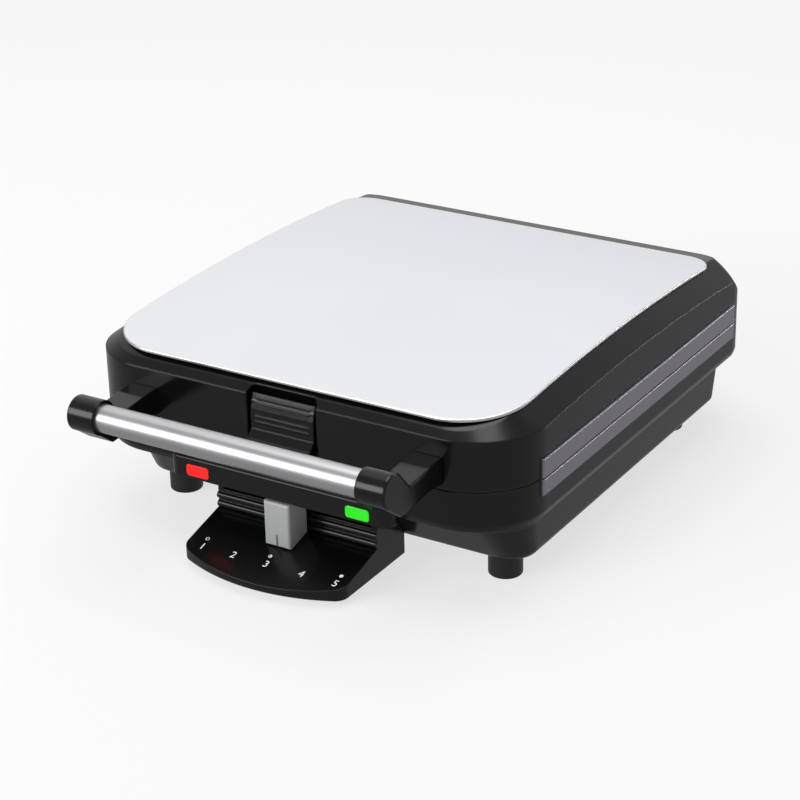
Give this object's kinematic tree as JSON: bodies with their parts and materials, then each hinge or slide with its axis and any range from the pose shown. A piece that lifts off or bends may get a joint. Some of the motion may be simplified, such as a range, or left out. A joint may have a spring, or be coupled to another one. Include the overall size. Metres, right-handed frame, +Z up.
{
  "type": "square waffle maker",
  "caption": "Square countertop waffle maker with a hinged lid over studded square cooking plates, front tube handle, latch tab and sliding browning control.",
  "frame": {"origin": "on the table, under the centre of the whole object's box with the lid shut", "axes": "+Z up, -Y towards the handle and the browning control, +X to the right seen from the front"},
  "size_m": [0.305, 0.4102, 0.1246],
  "materials": {
    "black_housing": "glossy black moulded phenolic",
    "black_control": "glossy black moulded plastic",
    "silver_trim": "satin silver strip with bright edges",
    "steel_cover": "brushed stainless sheet",
    "handle_tube": "brushed tube",
    "bottom_cover": "black painted sheet",
    "screw": "zinc plated",
    "foot": "matte black rubber",
    "plate": "dark non-stick coating on cast aluminium",
    "heater": "oxidised tube sheath",
    "shield": "plain aluminised sheet",
    "thermostat": "pale ceramic body",
    "red_lens": "translucent red, lit",
    "green_lens": "translucent green, lit",
    "lamp": "clear lamp",
    "board": "green circuit board",
    "potentiometer": "black moulded body",
    "slider_knob": "satin light gray",
    "slider_carriage": "black moulded",
    "hinge_pin": "bright steel pin"
  },
  "bodies": {
    "base": {"base_shell": "black_housing", "base_trim_left": "silver_trim", "base_trim_right": "silver_trim", "bottom_cover": "bottom_cover", "bottom_screws": "screw", "foot_front_left": "foot", "foot_front_right": "foot", "foot_rear_left": "foot", "foot_rear_right": "foot", "lower_plate": "plate", "lower_plate_screws": "screw", "lower_heater": "heater", "lower_heat_shield": "shield", "lower_shield_screws": "screw", "thermostat": "thermostat", "thermal_fuse": "screw", "light_bar": "black_control", "control_box": "black_control", "scale_tongue": "black_control", "hinge_bracket_left": "black_housing", "hinge_bracket_right": "black_housing", "control_screws": "screw", "power_lens": "red_lens", "ready_lens": "green_lens", "power_lamp": "lamp", "ready_lamp": "lamp", "control_board": "board", "slide_potentiometer": "potentiometer", "cord_gland": "foot", "hinge_pin_left": "hinge_pin", "hinge_pin_right": "hinge_pin"},
    "lid": {"lid_frame": "black_housing", "lid_knuckle_left": "black_housing", "lid_knuckle_right": "black_housing", "lid_cover": "steel_cover", "lid_trim_left": "silver_trim", "lid_trim_right": "silver_trim", "upper_plate": "plate", "upper_plate_screws": "screw", "upper_heater": "heater", "upper_heat_shield": "shield", "upper_shield_screws": "screw", "handle_tube": "handle_tube", "handle_arm_left": "black_housing", "handle_arm_right": "black_housing", "handle_screws": "screw", "latch_pin": "hinge_pin"},
    "latch": {"latch_tab": "black_housing"},
    "slider": {"slider_knob": "slider_knob", "slider_carriage": "slider_carriage"}
  },
  "joints": [
    {"name": "lid_hinge", "type": "hinge", "parent": "base", "child": "lid", "pos_m": [0, 0.19662, 0.0775], "axis": [-1, 0, 0], "range_deg": [0, 105]},
    {"name": "latch_pivot", "type": "hinge", "parent": "lid", "child": "latch", "pos_m": [0, -0.13778, 0.103], "axis": [-1, 0, 0], "range_deg": [0, 35]},
    {"name": "browning_slide", "type": "slide", "parent": "base", "child": "slider", "axis": [1, 0, 0], "range_m": [-0.046, 0.046]}
  ]
}
